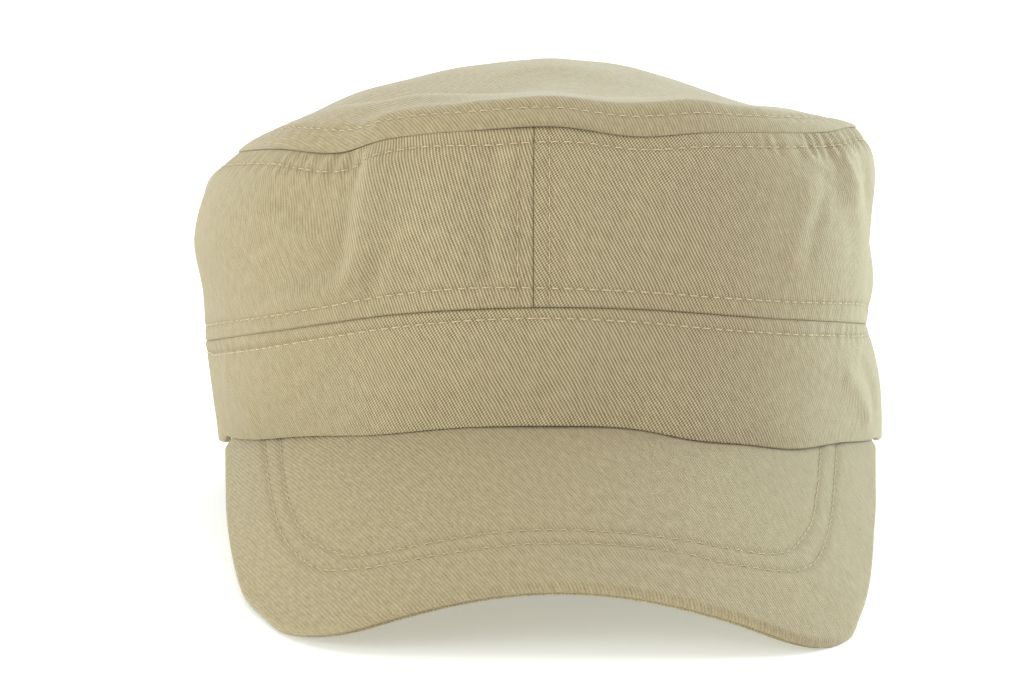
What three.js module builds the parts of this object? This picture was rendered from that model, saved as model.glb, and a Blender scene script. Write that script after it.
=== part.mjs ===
// A cadet cap of cotton twill: a curved peak, a tall band, two crown side panels and a domed top panel.
// Millimetres, +Z up, front towards -Y, the wearer's left towards +X.
// Every piece is worked out in the cap's own frame, whose origin is the middle of the band's lower edge.
// The whole cap is then turned nose-up, as it lies on the peak's two corners and the back of the band.

import * as THREE from 'three';

// A table as one object a row, with the names of its columns.
function rows(names, ...lines) {
  return lines.map((line) => Object.fromEntries(names.map((name, i) => [name, line[i]])));
}

// Driving dimensions
const gap = 0.3;
const thick = { band: 2.0, crown: 1.8, top: 1.8, peakUpper: 2.0, peakUnder: 1.0 };
const bandHeight = 26;
const crownHeight = 42;
const rest = { tilt: 8.35, roll: -0.38, right: 2.62, back: 21.81, lift: 13.45 };

// Half widths and lengths of the outer wall. Level 0 is the hem, 1 the band seam and 2 the top seam.
// A squareness of 2 is an ellipse, and more fills the corners.
const wallLevels = rows(
  ['level', 'left', 'right', 'front', 'back', 'squareFront', 'squareBack'],
  [0.0, 84.0, 84.4, 94.8, 97.5, 1.94, 2.1], // hem
  [0.5, 85.1, 83.4, 95.0, 97.0, 2.1, 2.1], // middle of the band
  [1.0, 86.2, 80.8, 95.0, 96.0, 2.25, 2.15], // band seam
  [1.25, 86.9, 82.0, 95.3, 95.5, 2.3, 2.2], // waist
  [1.55, 89.0, 81.2, 95.3, 94.5, 2.35, 2.2], // belly
  [1.85, 84.8, 81.0, 93.8, 90.5, 2.35, 2.2], // shoulder
  [2.0, 77.8, 76.4, 91.3, 86.0, 2.35, 2.2], // top seam
);

// Heights of the two seams and the free part of the hem around the cap. Angle 0 is the front.
const seamHeights = rows(
  ['angle', 'hem', 'bandSeam', 'topSeam'],
  [-180, 0.0, 27.0, 73.0], // centre back
  [-135, 0.0, 26.0, 74.0],
  [-90, 0.0, 25.0, 73.0], // left side
  [-70, 0.6, 25.7, 71.6],
  [-57, 1.0, 26.8, 71.0], // left corner
  [-45, 1.0, 28.2, 70.3],
  [-32, 1.0, 30.6, 68.6], // dip beside the ridge
  [-23, 1.0, 32.4, 71.3],
  [-12, 1.0, 33.8, 72.6],
  [0, 1.0, 34.3, 73.5], // centre front
  [11, 1.0, 33.9, 71.4], // soft wave of the top seam
  [21, 1.0, 32.8, 72.5],
  [33, 1.0, 31.5, 73.1],
  [46, 1.0, 30.7, 74.3],
  [60, 1.0, 30.0, 76.8], // right corner
  [90, 1.0, 29.5, 78.6], // right side
  [135, 0.0, 28.0, 76.0],
);

// Folds of the wall: where each one lies, how far it spreads in degrees and levels, how far it stands
// out in millimetres, and how many degrees it leans for a level upwards.
const folds = rows(
  ['angle', 'level', 'wide', 'tall', 'out', 'lean'],
  [-28.5, 1.68, 3.0, 0.34, 1.7, 6], // ridge at the left of the front
  [-35, 1.2, 7, 0.14, 0.9, 60], // its foot, running out to the left
  [-22, 1.45, 5, 0.4, -0.9, 0], // hollow to the right of the ridge
  [-38, 1.72, 6, 0.2, -1.2, 10], // hollow to its left
  [-108, 1.87, 18, 0.2, 6.0, 0], // full rear left shoulder
  [76, 1.22, 14, 0.3, -3.4, 0], // hollow of the right side
  [101, 1.2, 11, 0.38, 4.0, 0], // full right side behind it
  [43, 1.75, 3.2, 0.18, -1.2, -14], // gathers at the right corner
  [50, 1.72, 3.0, 0.2, 1.2, -14],
  [58, 1.72, 3.4, 0.2, -1.2, -14],
  [31, 0.0, 13, 0.4, 3.8, 0], // the hem's sag over the peak
);

// Heights of the top panel over its seam, by the share of the way out from its middle.
const topRings = rows(
  ['share', 'front', 'frontRight', 'right', 'backRight', 'back', 'backLeft', 'left', 'frontLeft'],
  [0.25, 19.3, 19.3, 21.4, 21.8, 22.1, 21.9, 21.3, 19.2],
  [0.45, 13.2, 13.6, 16.6, 18.7, 19.7, 18.9, 18.1, 13.7],
  [0.62, 9.4, 9.3, 11.4, 14.4, 15.4, 15.4, 14.8, 8.6], // hollow behind the crest
  [0.8, 7.3, 6.7, 5.9, 8.3, 9.0, 9.5, 8.7, 7.8], // near crest
  [0.92, 3.2, 3.0, 2.3, 3.6, 4.0, 4.2, 3.9, 4.4],
);
const top = { height: 22.8, meanSeam: 74, lip: 1.2 };

// Puffs of the top panel, as the folds of the wall, spread in degrees and shares.
const puffs = rows(
  ['angle', 'share', 'wide', 'tall', 'up'],
  [-30, 0.8, 18, 0.1, 2.6], // left end of the near crest
  [-60, 0.66, 22, 0.12, -1.2], // fold behind it
);
const directions = ['front', 'frontRight', 'right', 'backRight', 'back', 'backLeft', 'left', 'frontLeft'];

// The peak is a sheet bent round one cylinder, which slopes down to the front.
const peak = { radius: 94, slope: 30, start: 96, height: 7.5, endAngle: 65, tuck: 1.0, underInset: 0.8 };
const hemLeaves = { from: 2, to: 8 }; // degrees past the peak's end over which the hem comes free
const peakOutline = rows(
  ['forward', 'left', 'right'],
  [35.5, 78.6, 78.3], // end at the band
  [52, 76.6, 75.8],
  [66, 74.8, 73.6],
  [80, 72.7, 70.9],
  [94, 70.0, 68.2],
  [107, 66.6, 65.2],
  [117.5, 62.2, 62.0],
  [127.8, 57.2, 58.2],
  [135.0, 51.2, 53.0], // corner
  [140.0, 43.6, 45.4],
  [142.2, 33.0, 33.0],
  [143.1, 17.0, 17.0],
);

const twill = { color: 0xb3a581, roughness: 0.9, metalness: 0 };
const underTwill = { color: 0xa99b78, roughness: 0.95, metalness: 0 };

// Numbers of facets, closer together in front, where the folds are
const facets = { front: 3, back: 7.5, band: 4, crown: 9, peakAlong: 40, peakAcross: 6 };
const fineTo = 75;
const frontSeam = -2.9;
const topShares = [0.15, 0.3, 0.44, 0.56, 0.66, 0.75, 0.84, 0.92, 0.98, 1];

const radians = THREE.MathUtils.degToRad;

// A smooth curve through the rows of a table, read at any place between the first row and the last.
function readTable(table, key, column, at) {
  const last = table.length - 1;
  const x = THREE.MathUtils.clamp(at, table[0][key], table[last][key]);
  let i = 0;
  while (i < last - 1 && x > table[i + 1][key]) i += 1;
  const slope = (n) => {
    const before = table[Math.max(n - 1, 0)];
    const after = table[Math.min(n + 1, last)];
    return (after[column] - before[column]) / (after[key] - before[key]);
  };
  const width = table[i + 1][key] - table[i][key];
  const s = (x - table[i][key]) / width;
  const low = table[i][column];
  const high = table[i + 1][column];
  const bend = width * s * (1 - s);
  return low + (high - low) * s * s * (3 - 2 * s) + bend * (slope(i) * (1 - s) - slope(i + 1) * s);
}

// The same for a table of angles, which closes on itself.
const seamLoop = [
  { ...seamHeights.at(-1), angle: seamHeights.at(-1).angle - 360 },
  ...seamHeights,
  { ...seamHeights[0], angle: seamHeights[0].angle + 360 },
  { ...seamHeights[1], angle: seamHeights[1].angle + 360 },
];

function turnDegrees(angle) {
  return THREE.MathUtils.euclideanModulo(angle + 180, 360) - 180;
}

// Height of the peak's upper face over a place in plan.
function peakHeight(x, y) {
  const across = Math.min(Math.abs(x), peak.radius - 1);
  const drop = peak.radius - Math.sqrt(peak.radius ** 2 - across ** 2);
  return peak.height - (-y - peak.start) * Math.tan(radians(peak.slope)) - drop;
}

// Height of the floor in the cap's own frame, under a place in plan.
function floorHeight(x, y) {
  const tilt = radians(rest.tilt);
  const roll = radians(rest.roll);
  return ((y * Math.sin(tilt) - rest.lift) / Math.cos(tilt) + x * Math.sin(roll)) / Math.cos(roll);
}

function foldOut(angle, level) {
  return folds.reduce((sum, fold) => {
    const across = turnDegrees(angle - fold.angle - fold.lean * (level - fold.level)) / fold.wide;
    const along = (level - fold.level) / fold.tall;
    return sum + fold.out * Math.exp(-across * across - along * along);
  }, 0);
}

// A place of the outer wall in plan, on an oval that its squareness takes towards a box.
function wallPlan(angle, level) {
  const sine = Math.sin(radians(angle));
  const cosine = Math.cos(radians(angle));
  const wide = readTable(wallLevels, 'level', sine < 0 ? 'left' : 'right', level);
  const long = readTable(wallLevels, 'level', cosine > 0 ? 'front' : 'back', level);
  const power = readTable(wallLevels, 'level', cosine > 0 ? 'squareFront' : 'squareBack', level);
  const sum = Math.abs(sine / wide) ** power + Math.abs(cosine / long) ** power;
  const radius = sum ** (-1 / power) + foldOut(angle, level);
  return new THREE.Vector2(radius * sine, -radius * cosine);
}

// The same, moved in square to the wall, whose direction is taken between two places a degree apart.
function insetPlan(angle, level, inset) {
  const step = 0.5;
  const along = wallPlan(angle + step, level).sub(wallPlan(angle - step, level)).normalize();
  return wallPlan(angle, level).add(new THREE.Vector2(-along.y, along.x).multiplyScalar(inset));
}

// The hem lies on the peak in front, hangs free at the sides, and is pressed flat on the floor behind.
function hemHeight(angle, plan) {
  const free = readTable(seamLoop, 'angle', 'hem', angle);
  const onPeak = peakHeight(plan.x, plan.y) + gap;
  const share = THREE.MathUtils.smoothstep(Math.abs(angle) - peak.endAngle, hemLeaves.from, hemLeaves.to);
  return Math.max(THREE.MathUtils.lerp(onPeak, free, share), floorHeight(plan.x, plan.y));
}

function wallPoint(angleGiven, level, inset) {
  const angle = turnDegrees(angleGiven);
  const plan = insetPlan(angle, level, inset);
  const seam = readTable(seamLoop, 'angle', 'bandSeam', angle);
  const z = level < 1
    ? THREE.MathUtils.lerp(hemHeight(angle, plan), seam, level)
    : THREE.MathUtils.lerp(seam, readTable(seamLoop, 'angle', 'topSeam', angle), level - 1);
  return new THREE.Vector3(plan.x, plan.y, z);
}

// A solid between two grids of the same size, an outer and an inner one, with walls along their edges.
// Columns run from left to right when seen from outside, and rows upwards. A loop has no end walls.
function shell(outer, inner, loop) {
  const across = outer.length;
  const up = outer[0].length;
  const points = [...outer.flat(), ...inner.flat()];
  const index = [];
  const at = (side, i, j) => side * across * up + (i % across) * up + j;
  const quad = (a, b, c, d) => index.push(a, b, c, a, c, d);
  const spans = loop ? across : across - 1;
  for (let i = 0; i < spans; i += 1) {
    for (let j = 0; j < up - 1; j += 1) {
      quad(at(0, i, j), at(0, i + 1, j), at(0, i + 1, j + 1), at(0, i, j + 1));
      quad(at(1, i, j + 1), at(1, i + 1, j + 1), at(1, i + 1, j), at(1, i, j));
    }
    quad(at(1, i, 0), at(1, i + 1, 0), at(0, i + 1, 0), at(0, i, 0));
    quad(at(0, i, up - 1), at(0, i + 1, up - 1), at(1, i + 1, up - 1), at(1, i, up - 1));
  }
  if (!loop) {
    const end = across - 1;
    for (let j = 0; j < up - 1; j += 1) {
      quad(at(1, 0, j), at(0, 0, j), at(0, 0, j + 1), at(1, 0, j + 1));
      quad(at(0, end, j), at(1, end, j), at(1, end, j + 1), at(0, end, j + 1));
    }
  }
  return solid(points, index);
}

function solid(points, index) {
  const geometry = new THREE.BufferGeometry().setFromPoints(points);
  geometry.setIndex(index);
  return geometry;
}

function steps(count, from, to) {
  return Array.from({ length: count + 1 }, (unused, i) => THREE.MathUtils.lerp(from, to, i / count));
}

function wallShell(angles, levels, wall, loop) {
  const grid = (inset) => angles.map((angle) => levels.map((level) => wallPoint(angle, level, inset)));
  return shell(grid(0), grid(wall), loop);
}

// Angles from one place to another, fine in front and coarse behind.
function wallAngles(from, to) {
  const ends = [from, -fineTo, fineTo, to].filter((angle) => angle >= from && angle <= to);
  const runs = ends.slice(1).map((end, i) => {
    const size = Math.abs(end + ends[i]) / 2 < fineTo ? facets.front : facets.back;
    return steps(Math.round((end - ends[i]) / size), ends[i], end).slice(0, -1);
  });
  return [...runs.flat(), to];
}

function band() {
  const angles = wallAngles(-180, 180).slice(0, -1);
  return wallShell(angles, steps(facets.band, 0, 1 - gap / 2 / bandHeight), thick.band, true);
}

// A crown side panel runs from the front seam round to the back seam.
function crownPanel(side) {
  const edge = gap / 2 / crownHeight;
  const short = THREE.MathUtils.radToDeg(gap / 2 / wallLevels[2].front);
  const left = [-180 + short, frontSeam - short];
  const right = [frontSeam + short, 180 - short];
  const angles = wallAngles(...(side < 0 ? left : right));
  return wallShell(angles, steps(facets.crown, 1 + edge, 2 - edge), thick.crown, false);
}

// Rise of the top panel over its seam, smooth round the eight directions of its table.
function topRise(share, angle) {
  const turn = THREE.MathUtils.euclideanModulo(angle, 360) / 45;
  const first = Math.floor(turn);
  const s = turn - first;
  const values = [-1, 0, 1, 2].map((n) => {
    const column = directions[(first + n + 8) % 8];
    const mirrored = { share: -topRings[0].share, [column]: topRings[0][column] };
    const ends = [{ share: 0, [column]: top.height }, { share: 1, [column]: top.lip }];
    return readTable([mirrored, ends[0], ...topRings, ends[1]], 'share', column, share);
  });
  const [before, low, high, after] = values;
  const bend = s * (1 - s) * 0.5;
  return low + (high - low) * s * s * (3 - 2 * s) + bend * ((high - before) * (1 - s) - (after - low) * s);
}

function puffUp(angle, share) {
  return puffs.reduce((sum, puff) => {
    const across = turnDegrees(angle - puff.angle) / puff.wide;
    const along = (share - puff.share) / puff.tall;
    return sum + puff.up * Math.exp(-across * across - along * along);
  }, 0);
}

function topPoint(angle, share, under) {
  const edge = insetPlan(turnDegrees(angle), 2, 0).multiplyScalar(share);
  const seam = readTable(seamLoop, 'angle', 'topSeam', turnDegrees(angle));
  const base = THREE.MathUtils.lerp(top.meanSeam, seam, share ** 3);
  const z = base + topRise(share, angle) + puffUp(angle, share);
  return new THREE.Vector3(edge.x, edge.y, under ? Math.max(z - thick.top, seam + gap / 2) : z);
}

function crownTop() {
  const angles = wallAngles(-180, 180).slice(0, -1);
  const points = [topPoint(0, 0, false), topPoint(0, 0, true)];
  const index = [];
  const rings = topShares.length;
  for (const under of [false, true]) {
    for (const share of topShares) {
      points.push(...angles.map((angle) => topPoint(angle, share, under)));
    }
  }
  const count = angles.length;
  const at = (side, ring, i) => 2 + (side * rings + ring) * count + (i % count);
  for (let i = 0; i < count; i += 1) {
    index.push(0, at(0, 0, i), at(0, 0, i + 1));
    index.push(1, at(1, 0, i + 1), at(1, 0, i));
    for (let ring = 0; ring < rings - 1; ring += 1) {
      index.push(at(0, ring, i), at(0, ring + 1, i), at(0, ring + 1, i + 1));
      index.push(at(0, ring, i), at(0, ring + 1, i + 1), at(0, ring, i + 1));
      index.push(at(1, ring, i), at(1, ring + 1, i + 1), at(1, ring + 1, i));
      index.push(at(1, ring, i), at(1, ring, i + 1), at(1, ring + 1, i + 1));
    }
    index.push(at(0, rings - 1, i), at(1, rings - 1, i), at(1, rings - 1, i + 1));
    index.push(at(0, rings - 1, i), at(1, rings - 1, i + 1), at(0, rings - 1, i + 1));
  }
  return solid(points, index);
}

// The peak's rim in plan, from its left end round the front to its right end.
function peakRim() {
  const left = peakOutline.map((row) => new THREE.Vector2(-row.left, -row.forward));
  const right = peakOutline.map((row) => new THREE.Vector2(row.right, -row.forward)).reverse();
  return new THREE.SplineCurve([...left, ...right]);
}

// A point of the peak: u from the left end to the right, v from under the band to the rim, and a depth
// below the upper face, square to it. What would go through the floor is pressed flat on it.
function peakPoint(rim, u, v, depth, inset) {
  const angle = THREE.MathUtils.lerp(-peak.endAngle, peak.endAngle, u);
  const root = insetPlan(angle, 0, thick.band + peak.tuck);
  const edge = rim.getPointAt(u);
  const inward = root.clone().sub(edge).normalize().multiplyScalar(inset);
  const plan = edge.add(inward).lerp(root, 1 - v);
  const across = plan.x / Math.sqrt(peak.radius ** 2 - plan.x ** 2);
  const normal = new THREE.Vector3(across, -Math.tan(radians(peak.slope)), 1).normalize();
  const point = new THREE.Vector3(plan.x, plan.y, peakHeight(plan.x, plan.y)).addScaledVector(normal, -depth);
  point.z = Math.max(point.z, floorHeight(point.x, point.y));
  return point;
}

function peakSheet(from, to, inset) {
  const rim = peakRim();
  const grid = (depth) => steps(facets.peakAlong, 0, 1).map(
    (u) => steps(facets.peakAcross, 1, 0).map((v) => peakPoint(rim, u, v, depth, inset)),
  );
  return shell(grid(from), grid(to), false);
}

function piece(name, geometry, cloth) {
  const mesh = new THREE.Mesh(geometry, new THREE.MeshStandardMaterial(cloth));
  mesh.name = name;
  return mesh;
}

const underTop = thick.peakUpper + gap;
const underPeak = peakSheet(underTop, underTop + thick.peakUnder, peak.underInset);
const cap = new THREE.Group();
cap.add(piece('band', band(), twill));
cap.add(piece('crown_left', crownPanel(-1), twill));
cap.add(piece('crown_right', crownPanel(1), twill));
cap.add(piece('crown_top', crownTop(), twill));
cap.add(piece('peak_upper', peakSheet(0, thick.peakUpper, 0), twill));
cap.add(piece('peak_under', underPeak, underTwill));
cap.rotation.set(-radians(rest.tilt), radians(rest.roll), 0);
cap.position.set(rest.right, rest.back, rest.lift);

const part = new THREE.Group();
part.add(cap);

export default part;
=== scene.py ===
import math

import bpy
import numpy as np
from mathutils import Matrix, Vector


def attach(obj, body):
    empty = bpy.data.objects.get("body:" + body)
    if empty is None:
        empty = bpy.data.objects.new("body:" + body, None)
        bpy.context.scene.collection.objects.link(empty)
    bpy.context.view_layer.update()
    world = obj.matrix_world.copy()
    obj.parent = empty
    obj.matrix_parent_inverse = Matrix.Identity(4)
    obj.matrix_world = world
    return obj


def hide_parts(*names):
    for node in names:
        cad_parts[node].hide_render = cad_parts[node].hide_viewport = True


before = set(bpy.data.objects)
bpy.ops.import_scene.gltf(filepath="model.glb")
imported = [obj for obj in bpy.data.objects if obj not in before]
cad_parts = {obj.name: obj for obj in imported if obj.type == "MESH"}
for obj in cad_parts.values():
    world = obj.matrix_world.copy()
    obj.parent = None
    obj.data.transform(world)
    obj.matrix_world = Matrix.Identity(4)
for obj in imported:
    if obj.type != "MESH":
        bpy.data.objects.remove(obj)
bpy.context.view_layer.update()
print("frame loaded:", ", ".join(sorted(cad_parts)))

# The cap's own frame is in mm: origin in the middle of the band's lower edge, front towards -Y.
# The whole cap is turned nose-up on the floor by these.
rest = {"tilt": 8.35, "roll": -0.38, "right": 2.62, "back": 21.81, "lift": 13.45}
mm = 0.001
gap = 0.3  # between the solid pieces
seamGap = 0.03  # between the sewn edges seen here
meanRadius = 95.0  # of the wall, to turn a short length round it into degrees

restTilt = Matrix.Rotation(math.radians(-rest["tilt"]), 3, "X")
restRoll = Matrix.Rotation(math.radians(rest["roll"]), 3, "Y")
restPlace = Matrix.Translation(Vector((rest["right"], rest["back"], rest["lift"])) * mm)
restMatrix = restPlace @ (restTilt @ restRoll).to_4x4()


def tableOf(*rows):
    return np.array(rows, float).T


def readTable(table, column, at):
    # a smooth curve through the rows of a table
    keys, values = table[0], table[column]
    x = np.clip(at, keys[0], keys[-1])
    i = np.clip(np.searchsorted(keys, x) - 1, 0, len(keys) - 2)
    n = np.arange(len(keys))
    before, after = np.maximum(n - 1, 0), np.minimum(n + 1, len(keys) - 1)
    slope = (values[after] - values[before]) / (keys[after] - keys[before])
    width = keys[i + 1] - keys[i]
    s = (x - keys[i]) / width
    low, high = values[i], values[i + 1]
    bend = width * s * (1 - s) * (slope[i] * (1 - s) - slope[i + 1] * s)
    return low + (high - low) * s * s * (3 - 2 * s) + bend


def turnDegrees(angle):
    # the same angle from -180 to 180
    return (angle + 180) % 360 - 180


def byAngle(table, angle):
    # what a table says round the cap
    return readTable(table, 1, turnDegrees(angle))


def smoothStep(x, low, high):
    s = np.clip((x - low) / (high - low), 0, 1)
    return s * s * (3 - 2 * s)


def bump(distance, width, height=1.0):
    return height * np.exp(-((distance / width) ** 2))


def softNoise(points, size, seed):
    # smooth noise from -1 to 1 over points in space
    side = 24
    lattice = np.random.default_rng(seed).random((side, side, side))
    p = np.asarray(points) / size + 500
    cell = np.floor(p).astype(int)
    f = p - cell
    f = f * f * (3 - 2 * f)
    total = 0
    for corner in np.ndindex(2, 2, 2):
        weight = 1
        for axis in range(3):
            weight = weight * (f[..., axis] if corner[axis] else 1 - f[..., axis])
        at = [(cell[..., axis] + corner[axis]) % side for axis in range(3)]
        total = total + weight * lattice[at[0], at[1], at[2]]
    return total * 2 - 1


def addWaves(relief, points, layers, way=None):
    # layers of soft waves: height, size, seed, squeeze in z and, where they grow along a way, its start and end
    for height, size, seed, squeeze, *grown in layers:
        layer = height * softNoise(points * np.array((1, 1, squeeze)), size, seed)
        relief = relief + (layer * smoothStep(way, *grown) if grown else layer)
    return relief


def puckers(u, look, lean=0):
    # puckers along a seam, from -1 to 1: their spacing in mm, how much it wanders, and a seed
    pitch, wander, seed = look
    drift = wander * softNoise(np.stack([u, 0 * u, 0 * u], -1), 9, seed)
    return np.cos(2 * np.pi * (u + drift + lean) / pitch)


def turnedEdge(distance, radius, depth):
    # how far a folded cloth edge has rolled in, at a distance from its end
    s = np.clip(1 - distance / radius, 0, 1)
    return depth * (1 - np.sqrt(1 - s * s))


def fromPath(x, y, path):
    # distance from a line of points, above 0 on the line's left, and how far along it, 0 to 1
    path = np.array(path, float)
    steps = np.hypot(*(path[1:] - path[:-1]).T)
    done = np.concatenate([[0], np.cumsum(steps)])
    best = np.full(np.shape(x), 1e9)
    side = np.ones(np.shape(x))
    along = np.zeros(np.shape(x))
    for (ax, ay), (bx, by), size, start in zip(path[:-1], path[1:], steps, done):
        t = np.clip(((x - ax) * (bx - ax) + (y - ay) * (by - ay)) / size ** 2, 0, 1)
        d = np.hypot(x - ax - t * (bx - ax), y - ay - t * (by - ay))
        near = d < best
        best = np.where(near, d, best)
        side = np.where(near, np.sign((bx - ax) * (y - ay) - (by - ay) * (x - ax)), side)
        along = np.where(near, (start + t * size) / done[-1], along)
    return best * side, along


def alongLine(line):
    # how far along a line of points each of them is
    return np.concatenate([[0], np.cumsum(np.linalg.norm(line[1:] - line[:-1], axis=1))])


def pointsAt(at, done, line):
    return np.stack([np.interp(at, done, line[:, k]) for k in range(line.shape[1])], 1)


def evenPath(line, step=None, count=None):
    # the same line with its points a step apart, or with a count of them
    done = alongLine(line)
    at = np.linspace(0, done[-1], count or max(int(done[-1] / step), 2) + 1)
    return pointsAt(at, done, line)


def curveThrough(p, steps):
    # a rounded line from the second of some points to the last but one
    t = np.linspace(0, 1, steps, endpoint=False)[:, None]
    runs = []
    for a, b, c, d in zip(p[:-3], p[1:-2], p[2:-1], p[3:]):
        square, cube = 2 * a - 5 * b + 4 * c - d, 3 * b - a - 3 * c + d
        runs.append(0.5 * (2 * b + (c - a) * t + square * t ** 2 + cube * t ** 3))
    return np.vstack([*runs, p[-2:-1]])


def smoothPath(points, step=0.3):
    p = np.array(points, float)
    p = np.vstack([2 * p[0] - p[1], p, 2 * p[-1] - p[-2]])
    return evenPath(curveThrough(p, 40), step)


# The wall of the band and the crown sides. Level 0 is the hem, 1 the band seam and 2 the top seam.
# level, half widths at -X and +X, half lengths in front and behind, how square it is in front and behind
wallTable = tableOf(
    (0.0, 84.0, 84.4, 94.8, 97.5, 1.94, 2.1),
    (0.5, 85.1, 83.4, 95.0, 97.0, 2.1, 2.1),
    (1.0, 86.2, 80.8, 95.0, 96.0, 2.25, 2.15),
    (1.25, 86.9, 82.0, 95.3, 95.5, 2.3, 2.2),
    (1.55, 89.0, 81.2, 95.3, 94.5, 2.35, 2.2),
    (1.85, 84.8, 81.0, 93.8, 90.5, 2.35, 2.2),
    (2.0, 77.8, 76.4, 91.3, 86.0, 2.35, 2.2),
)

# angle (0 is the front, above 0 towards +X), then the heights of the free hem, the band seam and the top seam
seamRows = [
    (-180, 0.0, 27.0, 73.0), (-135, 0.0, 26.0, 74.0), (-90, 0.0, 25.0, 73.0), (-70, 0.6, 25.7, 71.6),
    (-57, 1.0, 26.8, 71.0), (-45, 1.0, 28.2, 70.3), (-32, 1.0, 30.6, 68.6), (-23, 1.0, 32.4, 71.3),
    (-12, 1.0, 33.8, 72.6), (0, 1.0, 34.3, 73.5), (11, 1.0, 33.9, 71.4), (21, 1.0, 32.8, 72.5),
    (33, 1.0, 31.5, 73.1), (46, 1.0, 30.7, 74.3), (60, 1.0, 30.0, 76.8), (90, 1.0, 29.5, 78.6),
    (135, 0.0, 28.0, 76.0),
]
lastRow, firstRows = seamRows[-1], seamRows[:2]  # carried on past the back on both sides
seamTable = tableOf(
    (lastRow[0] - 360, *lastRow[1:]), *seamRows, *[(row[0] + 360, *row[1:]) for row in firstRows])
seamColumns = {"hem": 1, "band": 2, "top": 3}

# broad folds: angle, level, spread in degrees, spread in levels, how far out, lean in degrees a level
broadFolds = [
    (-28.5, 1.68, 3.0, 0.34, 1.1, 6), (-35, 1.2, 7, 0.14, 0.7, 60), (-22, 1.45, 5, 0.4, -0.9, 0),
    (-38, 1.72, 6, 0.2, -1.0, 10), (-108, 1.87, 18, 0.2, 6.0, 0), (76, 1.22, 14, 0.3, -3.4, 0),
    (101, 1.2, 11, 0.38, 4.0, 0), (43, 1.75, 3.2, 0.18, -0.9, -14), (50, 1.72, 3.0, 0.2, 1.0, -14),
    (58, 1.72, 3.4, 0.2, -1.0, -14), (31, 0.0, 13, 0.4, 3.8, 0),
]

# the peak is a sheet bent round one cylinder, sloping down to the front
peakShape = {
    "radius": 94, "slope": 30, "start": 96, "height": 7.5, "tuck": 1.0,
    "endAngle": 65, "hemLeaves": (2, 8),  # degrees past the peak's end over which the hem comes down from it
}
peakFall = math.tan(math.radians(peakShape["slope"]))


def seamHeight(which, angle):
    return readTable(seamTable, seamColumns[which], turnDegrees(angle))


def peakHeight(x, y):
    radius = peakShape["radius"]
    across = np.minimum(np.abs(x), radius - 1)
    drop = radius - np.sqrt(radius ** 2 - across ** 2)
    return peakShape["height"] - (-y - peakShape["start"]) * peakFall - drop


def floorHeight(x, y):
    # the real floor, seen from the cap's own frame
    tilt, roll = math.radians(rest["tilt"]), math.radians(rest["roll"])
    return ((y * math.sin(tilt) - rest["lift"]) / math.cos(tilt) + x * math.sin(roll)) / math.cos(roll)


def foldOut(angle, level):
    total = 0
    for at, middle, wide, tall, out, lean in broadFolds:
        across = turnDegrees(angle - at - lean * (level - middle)) / wide
        along = (level - middle) / tall
        total = total + out * np.exp(-across * across - along * along)
    return total


def wallPlan(angle, level):
    sine, cosine = np.sin(np.radians(angle)), np.cos(np.radians(angle))
    columns = [readTable(wallTable, column, level) for column in range(1, 7)]
    wide = np.where(sine < 0, columns[0], columns[1])
    long = np.where(cosine > 0, columns[2], columns[3])
    power = np.where(cosine > 0, columns[4], columns[5])
    total = np.abs(sine / wide) ** power + np.abs(cosine / long) ** power
    radius = total ** (-1 / power) + foldOut(angle, level)
    return radius * sine, -radius * cosine


def insetPlan(angle, level, inset):
    x1, y1 = wallPlan(angle + 0.5, level)
    x0, y0 = wallPlan(angle - 0.5, level)
    dx, dy = x1 - x0, y1 - y0
    size = np.hypot(dx, dy)
    x, y = wallPlan(angle, level)
    return x - dy / size * inset, y + dx / size * inset


def hemHeight(angle, x, y):
    free = seamHeight("hem", angle)
    onPeak = peakHeight(x, y) + gap
    share = smoothStep(np.abs(turnDegrees(angle)) - peakShape["endAngle"], *peakShape["hemLeaves"])
    return np.maximum(onPeak + (free - onPeak) * share, floorHeight(x, y))


def bandHeight(angle):
    return seamHeight("band", angle) - hemHeight(angle, *wallPlan(angle, 0 * angle))


def wallPoint(angle, level, inset=0.0):
    angle, level, inset = np.broadcast_arrays(angle, level, inset)
    x, y = insetPlan(angle, level, inset)
    low, seam, high = hemHeight(angle, x, y), seamHeight("band", angle), seamHeight("top", angle)
    z = np.where(level < 1, low + (seam - low) * level, seam + (high - seam) * (level - 1))
    return np.stack([x, y, z], -1)


# length round the wall in mm at each angle, from the front
arcAngles = np.arange(-200, 200.1, 0.5)
arcLengths = alongLine(wallPoint(arcAngles, 1.0)[:, :2])
arcLengths -= np.interp(0, arcAngles, arcLengths)


def roundLength(angle):
    return np.interp(angle, arcAngles, arcLengths)


def towardsSides(angle):
    # 0 in front, 1 at the sides and behind
    return smoothStep(np.abs(angle), 15, 50)


def foldRelief(folds, angle, z):
    u = roundLength(angle)
    total = np.zeros(np.shape(z))
    for path, width, out in folds:
        line = smoothPath([(roundLength(a), h) for a, h in path], 1.5)
        distance, along = fromPath(u, z, line)
        ends = smoothStep(along, 0, 0.18) * (1 - smoothStep(along, 0.82, 1))
        total = total + bump(distance, width, out) * (0.15 + 0.85 * ends)
    return total


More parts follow.
